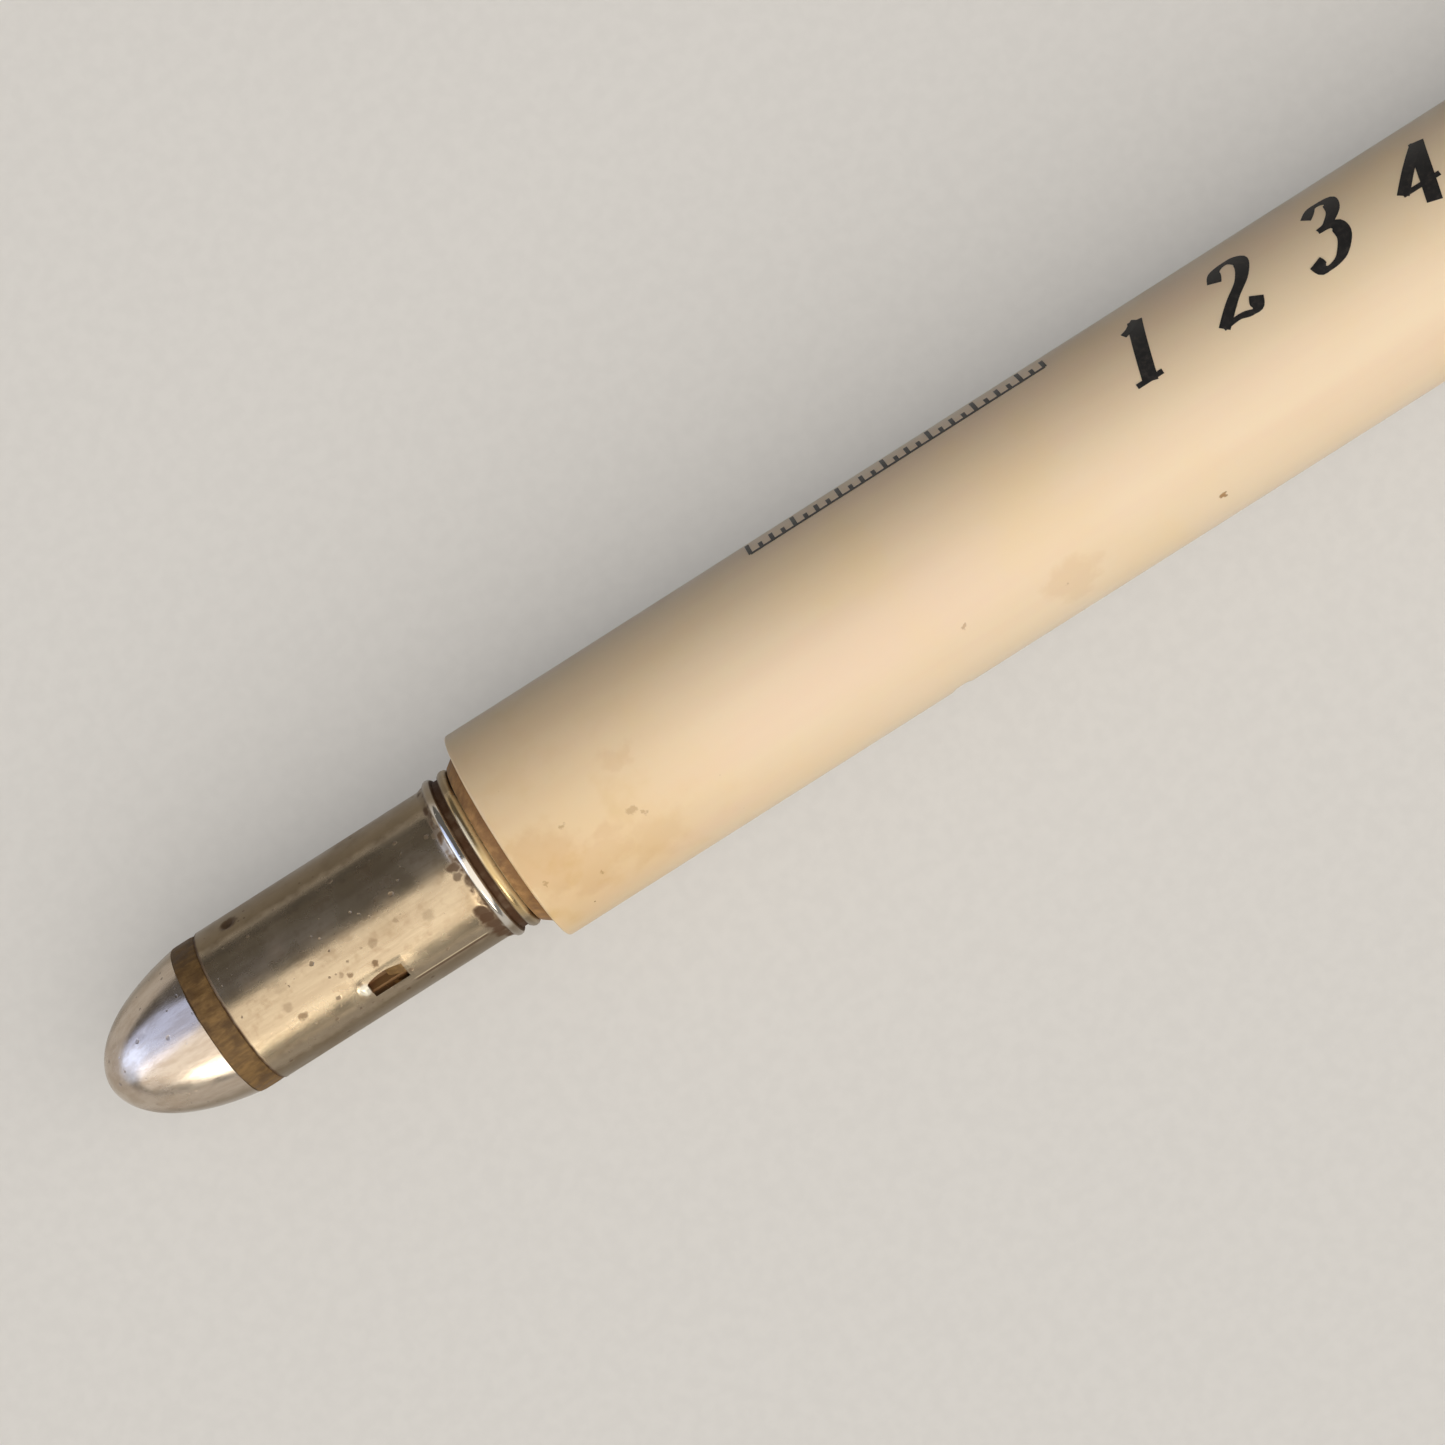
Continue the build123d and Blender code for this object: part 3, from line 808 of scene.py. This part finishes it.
def half_turned(profile, start, shape, extra):
    """Closed profile (x, r) turned about X through half a turn from the angle start, with a flat face at each
    end of the turn. shape(x, a, r) is the true radius, and extra angles are added to the even ones."""
    a = merged([start, start + pi, *extra], np.linspace(start, start + pi, 97), apart=0.01)
    x, r = np.hsplit(profile, 2)
    loops = ringed(x, shape(x, a, r), a)
    n, m = loops.shape[:2]
    flats = [np.arange(n)[None, ::-1] * m, np.arange(n)[None] * m + m - 1]
    return loops.reshape(-1, 3), [grid_faces(n, m, True, False), *flats]


def whittled(x, a, r):
    """The knife left broad flats on the cone: its radius dips by up to a tenth of a millimetre between eleven
    low ridges, a raised cosine each. The score is a flat-bottomed channel."""
    outside = r > lead_hole + 0.01
    on_cone = hump(x - (cone_start + cone_end) / 2, (cone_end - cone_start) / 2 - 1.2, 1.2) * outside
    flats = 0.5 - 0.5 * np.cos(11 * a + 1.3 * np.sin(2 * a) + 0.12 * x)
    r = r - on_cone * 0.11 * flats * np.clip((r - lead_hole) / 1.2, 0, 1)
    scored = outside & (np.abs(a - window_turn) * stub_radius < score_half) & (x < score_end)
    bottom = ((stub_radius - score_depth) / np.cos(a - window_turn) - lead_hole) / (stub_radius - lead_hole)
    return np.where(scored, lead_hole + (r - lead_hole) * bottom, r)


slat_profile = spaced(rounded([
    (stub_back, lead_hole, 0),
    (stub_back, stub_radius, 0.15),
    (score_end, stub_radius, 0),
    (score_end + 0.01, stub_radius, 0),
    (cone_start, stub_radius, 0.2),
    (cone_end, lead_hole + 0.02, 0),
    (cone_end, lead_hole, 0),
]), 0.5)
score_edges = [score_half / stub_radius + off for off in (-0.001, 0.012)]
score_turns = [window_turn + side * edge for side in (-1, 1) for edge in score_edges]
for name, start, extra in (("upper", -pi / 2, score_turns), ("lower", pi / 2, ())):
    slat = half_turned(slat_profile, start, whittled, extra)
    piece(f"cedar_{name}", slat, "stub", cedar, f"stub_slat_{name}")

# Lead.  A thick rod of fired graphite and clay, glued in between the slats.  It was whetted to a blunt point
# with flats on it.
lead_tip = ends("graphite_lead")[1]
lead_back, lead_radius, point_radius = stub_back + 0.05, 1.1, 0.25

graphite, shader, place = material("graphite")
crumbs = noise(place, 6, 5, 0.7)
grained(shader, painted((58, 58, 61), (step(crumbs, 0.35, 0.7), (84, 84, 88))), crumbs, 0.32, 0.52, 0.4, 0.05)
fill(shader, Metallic=0.35)


def whetted(x, a, r):
    """Seven unequal flats on the pointed part."""
    pointed = np.clip((x - cone_end) / 0.6, 0, 1)
    return r * (1 - pointed * 0.05 * (0.5 - 0.5 * np.cos(7 * a + 1.7 * np.sin(a))))


lead_profile = spaced(rounded([
    (lead_back, 0, 0),
    (lead_back, lead_radius, 0.1),
    (cone_end, lead_radius, 0.15),
    (lead_tip, point_radius, 0.12),
    (lead_tip, 0, 0),
]), 0.3)
piece("lead_rod", turned(lead_profile, 96, whetted), "stub", graphite, "graphite_lead")

# Eraser cup.  Drawn in one piece with its bottom, nickelled, and pressed into the fibre tube up to its bead.
# It is fluted, and rolled down on the rubber in one groove.
cup_bottom, cup_rim = ends("eraser_ferrule")
cup_radius, cup_bore, cup_floor = bore_radius - 0.02, bore_radius - 0.27, 0.25
cup_bead, cup_bead_half, cup_bead_height = barrel_end + 0.305, 0.275, 0.3
crimp, crimp_half, crimp_depth = barrel_end + 4.2, 0.5, 0.22

cup_plate, shader, _, plate = nickel_plate(
    "cup_nickel", (198, 186, 164), (178, 166, 142), (132, 104, 70), 0.22
)
fill(shader, Base_Color=painted(plate["colour"], (plate["pits"] * 0.7, (92, 66, 44))))


def cup_shape(x, a, r):
    """Forty-four fine flutes stand between the bead and the groove and beyond it, each a shallow raised
    cosine, and fade out at their ends. The skin is slightly uneven."""
    outside = r > np.where(np.abs(x - crimp) < 0.55, cup_radius - 0.235, cup_radius - 0.1)
    fluted = hump(x - barrel_end - 2.2, 0.9, 0.25) + hump(x - barrel_end - 6.0, 0.45, 0.15)
    flutes = 0.07 * fluted * (0.5 - 0.5 * np.cos(44 * a))
    return r - outside * flutes + outside * 0.01 * (wobble(x, a, 41) - 1)


def groove_line(radius):
    """The rolled groove in a profile: it sinks by its depth times a cosine to the power of one and a half."""
    u = np.linspace(-1, 1, 13)
    return np.stack([crimp + crimp_half * u, radius - crimp_depth * np.cos(pi / 2 * u) ** 1.5], axis=1)


half_circle = np.linspace(0, pi, 13)
bead_line = np.stack([cup_bead - cup_bead_half * np.cos(half_circle),
                      cup_radius + cup_bead_height * np.sin(half_circle)], axis=1)
cup_profile = np.vstack([
    [(cup_bottom, 0)],
    rounded([
        (cup_bottom, cup_radius - 0.3, 0),
        (cup_bottom, cup_radius, 0.2),
        (cup_bottom + 1, cup_radius, 0),
    ]),
    bead_line,
    groove_line(cup_radius),
    rounded([
        (crimp + 1, cup_radius, 0),
        (cup_rim, cup_radius, 0.1),
        (cup_rim, cup_bore, 0.1),
        (crimp + 1, cup_bore, 0),
    ]),
    groove_line(cup_bore)[::-1],
    [(cup_bottom + cup_floor, cup_bore), (cup_bottom + cup_floor, 0)],
])
cup_solid = turned(spaced(cup_profile, 0.2), 352, cup_shape)
piece("eraser_cup", cup_solid, "barrel", cup_plate, "eraser_ferrule")

# Eraser.  A moulded plug of red-brown rubber, held by the groove of the cup.  It has hardened with age, and
# is rubbed off on one side and smudged.
rubber_back, rubber_top = ends("eraser")
rubber_radius, dome_size = cup_bore - 0.02, 2.0

rubber, shader, place = material("aged_rubber")
faded = step(noise(place, 0.5, 4), 0.35, 0.7)
near_top = step(station_of(place), rubber_top - 1.8, rubber_top - 0.4)
smudged = near_top * step(noise(place, 1.1, 4), 0.42, 0.66, 0, 0.75)
flecks = speckled(place, 2.6, 0.16, 0.25) * 0.5
aged = painted((186, 112, 92), (faded, (160, 92, 76)), (smudged, (92, 78, 74)), (flecks, (104, 62, 52)))
grained(shader, aged, noise(place, 7, 5, 0.75), 0.66, 0.85, 0.6, 0.12)


def worn_down(x, a, r):
    """The dome is worn down towards one side, and the whole skin is slightly uneven."""
    dome = np.clip((x - rubber_top + 2.2) / 2.2, 0, 1) ** 2
    side = 0.5 + 0.5 * np.cos(a - radians(150))
    return r * (1 - 0.14 * dome * side) - 0.02 * (1 + wobble(x * 1.5, a, 51)) * (r > 1)


rubber_profile = np.vstack([
    [(rubber_back, 0), (rubber_back, rubber_radius)],
    groove_line(rubber_radius),
    rounded([(crimp + 1, rubber_radius, 0), (rubber_top, rubber_radius, dome_size), (rubber_top, 0, 0)], 14),
])
rubber_solid = turned(spaced(rubber_profile, 0.25), 128, worn_down)
piece("rubber_plug", rubber_solid, "barrel", rubber, "eraser")

# Print.  Black ink rolled on the celluloid: a numbered rule in bold sloped figures along the top, and a fine
# scale of ticks behind it.  Each stroke is a thin film that follows the barrel.
film_under, film_over, overlap_lift = 0.02, 0.012, 0.002
rule_start, rule_step, rule_count = mouth + 30.2, 4.2333, 10
figure_height, figure_width, figure_slope, figure_foot = 3.0, 1.75, 0.3, radians(-18.5)
two_figure_squeeze, figure_spacing = 0.8, 1.25
thick, thin = 0.66, 0.22
tick_foot, tick_start, tick_step, tick_count = radians(-64), mouth + 14.4, 0.5292, 27
tick_lengths, tick_width, base_line_width = (1.3, 0.55, 0.8, 0.55), 0.18, 0.14

ink, shader, place = material("black_ink")
coverage = noise(place, 5, 5, 0.7)
blackened = painted((26, 24, 22), (step(coverage, 0.45, 0.75), (58, 52, 45)))
grained(shader, blackened, coverage, 0.4, 0.6, 0.3, 0.02)

# Strokes of each figure: pairs of hundredths, across and up, in a box that is 0.6 wide and 1 high.  A stroke
# of two points is straight, and any other is a curve.
figure_box = 0.6
figures = {
    "1": ((32, 0, 32, 100), (12, 84, 24, 90, 34, 100), (12, 3, 52, 3)),
    "2": ((9, 76, 14, 95, 34, 99, 52, 84, 47, 58, 26, 34, 5, 6), (4, 7, 30, 9, 54, 5, 60, 22)),
    "3": ((10, 84, 24, 99, 46, 94, 50, 74, 38, 58, 22, 54), (22, 54, 46, 50, 55, 28, 42, 5, 18, 0, 5, 16)),
    "4": ((42, 0, 42, 100), (42, 98, 3, 30), (3, 30, 60, 30)),
    "5": ((15, 95, 54, 95), (15, 96, 12, 54), (12, 54, 34, 62, 54, 46, 53, 18, 34, 1, 14, 2, 4, 16)),
    "6": ((50, 94, 32, 92, 14, 68, 6, 34, 16, 6, 36, 0, 54, 18, 53, 44, 36, 58, 18, 52, 8, 36),),
    "7": ((6, 94, 58, 94), (7, 94, 6, 76), (57, 93, 42, 62, 30, 36, 25, 0)),
    "8": ((33, 54, 14, 66, 12, 88, 31, 100, 50, 88, 47, 68, 30, 53,
           9, 36, 7, 12, 30, 0, 54, 12, 54, 36, 33, 54),),
    "9": ((10, 6, 28, 8, 46, 32, 54, 66, 44, 94, 24, 100, 6, 82, 7, 56, 24, 42, 42, 48, 52, 64),),
    "0": ((30, 0, 10, 18, 6, 50, 12, 84, 32, 100, 50, 82, 54, 50, 48, 16, 30, 0),),
}


def smooth_path(spots):
    """Even points along a stroke: straight between its two ends, or a curve through all of its points, whose
    leg from one to the next is the cubic with slopes of half the span between their neighbours."""
    if len(spots) == 2:
        return spots[0] + (spots[1] - spots[0]) * np.linspace(0, 1, 9)[:, None]
    slopes = np.gradient(spots, axis=0)
    t = np.linspace(0, 1, 7)[:-1, None, None]
    start, end, out, into = spots[:-1], spots[1:], slopes[:-1], slopes[1:]
    legs = ((2 * t**3 - 3 * t**2 + 1) * start + (t**3 - 2 * t**2 + t) * out
            + (3 * t**2 - 2 * t**3) * end + (t**3 - t**2) * into)
    return np.vstack([legs.transpose(1, 0, 2).reshape(-1, 2), spots[-1:]])


def ink_stroke(path, left, foot, heavy, light, lift=0.0):
    """Film on the barrel along a path (u, v) in millimetres, u along X from left and v round the barrel from
    the angle foot. A broad pen draws it: its width grows from light to heavy with the rise of the path to
    the power of 1.6."""
    along = np.gradient(path, axis=0)
    along = along / np.maximum(np.linalg.norm(along, axis=1, keepdims=True), 1e-9)
    width = light + (heavy - light) * np.abs(along[:, 1]) ** 1.6
    normal = np.stack([-along[:, 1], along[:, 0]], axis=1)
    side = np.linspace(-0.5, 0.5, 4)
    spots = path[:, None] + normal[:, None] * (side[:, None] * width[:, None, None])
    x, a = left + spots[..., 0], foot - spots[..., 1] / shell_radius
    return closed_bar(*(ringed(x, shell_radius + off, a) for off in (film_over + lift, -film_under)))


def films(name, strokes):
    """One piece out of many separate closed films."""
    offset, points, faces = 0, [], []
    for spots, rows in strokes:
        points.append(spots)
        faces += [block + offset for block in outwards(spots, rows)]
        offset += len(spots)
    piece(name, (np.vstack(points), faces), "barrel", ink)


strokes = []
for number in range(rule_count):
    text = str(number + 1)
    width = figure_width * (two_figure_squeeze if len(text) > 1 else 1)
    for at, character in enumerate(text):
        for order, spots in enumerate(figures[character]):
            path = smooth_path(np.reshape(spots, (-1, 2)) / 100) * (width / figure_box, figure_height)
            path[:, 0] += path[:, 1] * figure_slope + at * width * figure_spacing
            left = rule_start + number * rule_step
            strokes.append(ink_stroke(path, left, figure_foot, thick, thin, order * overlap_lift))
films("rule_figures", strokes)

base_line = smooth_path(np.array(((0, 0), (tick_step * (tick_count - 1), 0))))
strokes = [ink_stroke(base_line, tick_start, tick_foot, base_line_width, base_line_width)]
for number in range(tick_count):
    tick = smooth_path(np.array(((0, 0), (0, tick_lengths[number % 4]))))
    left = tick_start + number * tick_step
    strokes.append(ink_stroke(tick, left, tick_foot, tick_width, tick_width, overlap_lift))
films("fine_scale", strokes)

# Floor, camera and lamps.  A pale table, a camera almost straight above the mouth of the barrel, a wide warm
# key that leans to the near side, a soft fill for matt surfaces, and two cool lamps and a warm one beyond the
# nose for glossy ones.  The room is dim, and lighter towards the near side.
table_half, table_height = 4.0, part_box("barrel_shell")[0][2]
camera_distance, camera_lens = 160.0, 98.9
camera_tilt, camera_roll = radians(2.2), radians(32.4)
mouth_right, mouth_down = 8.669, -4.577

table, shader, place = material("pale_table")
ray = source(place.tree, "LightPath", "Is Camera Ray")
seen = largest(ray, ray["Is Glossy Ray"], ray["Is Transmission Ray"])
pale = painted((182, 180, 177), (step(noise(place, 1.5, 4), 0.3, 0.7), (186, 184, 181)))
fill(shader, Base_Color=painted((0.1, 0.1, 0.1, 1), (seen, pale)), Emission_Strength=seen * 0.26,
     Emission_Color=srgb(251, 248, 243), Roughness=0.85, Specular_IOR_Level=0.2)
mesh = bpy.data.meshes.new("table_top")
corners = [(x * table_half, y * table_half, table_height) for x, y in ((-1, -1), (1, -1), (1, 1), (-1, 1))]
mesh.from_pydata(corners, [], [(0, 1, 2, 3)])
mesh.materials.append(table)
shown("table_top", mesh)


def facing(right, up, back, spot):
    """Matrix of a camera or a lamp at a spot, from its three axes."""
    axes = Matrix(np.stack([right, up, back], axis=1).tolist()).to_4x4()
    return Matrix.Translation(spot.tolist()) @ axes


forward = np.array((-sin(camera_tilt), 0, -cos(camera_tilt)))
along_barrel = np.array((cos(camera_tilt), 0, -sin(camera_tilt)))
across = np.array((0, -1, 0))
to_right = cos(camera_roll) * along_barrel + sin(camera_roll) * across
to_bottom = -sin(camera_roll) * along_barrel + cos(camera_roll) * across
spot = np.array((mouth, 0, 0)) - camera_distance * forward + mouth_right * to_right + mouth_down * to_bottom
camera = shown("camera", bpy.data.cameras.new("camera"))
camera.matrix_world = facing(to_right, -to_bottom, -forward, spot * MM)
camera.data.lens = camera_lens
camera.data.clip_start, camera.data.clip_end = 0.01, 20
bpy.context.scene.camera = camera


def lamp(name, colour, watts, size, lean, towards_nose, distance, shape="RECTANGLE", matt=True, gloss=True):
    """Lamp that faces the middle of the barrel from an angle off the vertical, lean towards -Y and
    towards_nose towards -X, both in degrees, at a distance in metres. It lights matt or glossy surfaces, or
    both."""
    made = shown(name, bpy.data.lights.new(name, "AREA"))
    made.data.shape = shape
    made.data.size, made.data.size_y = size
    made.data.color, made.data.energy = colour, watts
    up = np.array((-tan(radians(towards_nose)), -tan(radians(lean)), 1.0))
    up = up / np.linalg.norm(up)
    side = np.cross((0, 1, 0), up)
    side = side / np.linalg.norm(side)
    made.matrix_world = facing(side, np.cross(up, side), up, up * distance)
    made.visible_camera = False
    made.visible_diffuse, made.visible_glossy = matt, gloss


lamp("key", (1.0, 0.95, 0.88), 35.4, (6.4, 1.42), 31, 0, 1.0)
lamp("fill", (1.0, 0.97, 0.93), 1.2, (1.5, 1.5), -18, 0, 1.2, gloss=False)
lamp("sky", (0.5, 0.62, 1.0), 1.25, (0.66, 0.56), -34, 58, 0.6, "ELLIPSE", matt=False)
lamp("pane", (0.56, 0.7, 1.0), 0.5, (0.36, 0.42), -30, 76, 0.6, "ELLIPSE", matt=False)
lamp("warm", (1.0, 0.96, 0.86), 0.85, (0.2, 0.34), 65, 54, 0.6, "ELLIPSE", matt=False)
world = bpy.data.worlds.new("room")
world.use_nodes = True
bpy.context.scene.world = world
beyond = node("SeparateXYZ", source(world.node_tree, "TexCoord", "Generated"))["Y"]
room = painted((0.138, 0.133, 0.127, 1), (step(beyond, 0, -0.9), (0.29, 0.285, 0.275, 1)))
fill(world.node_tree.nodes["Background"].inputs, Color=room)
bpy.context.scene.view_settings.view_transform = "Standard"
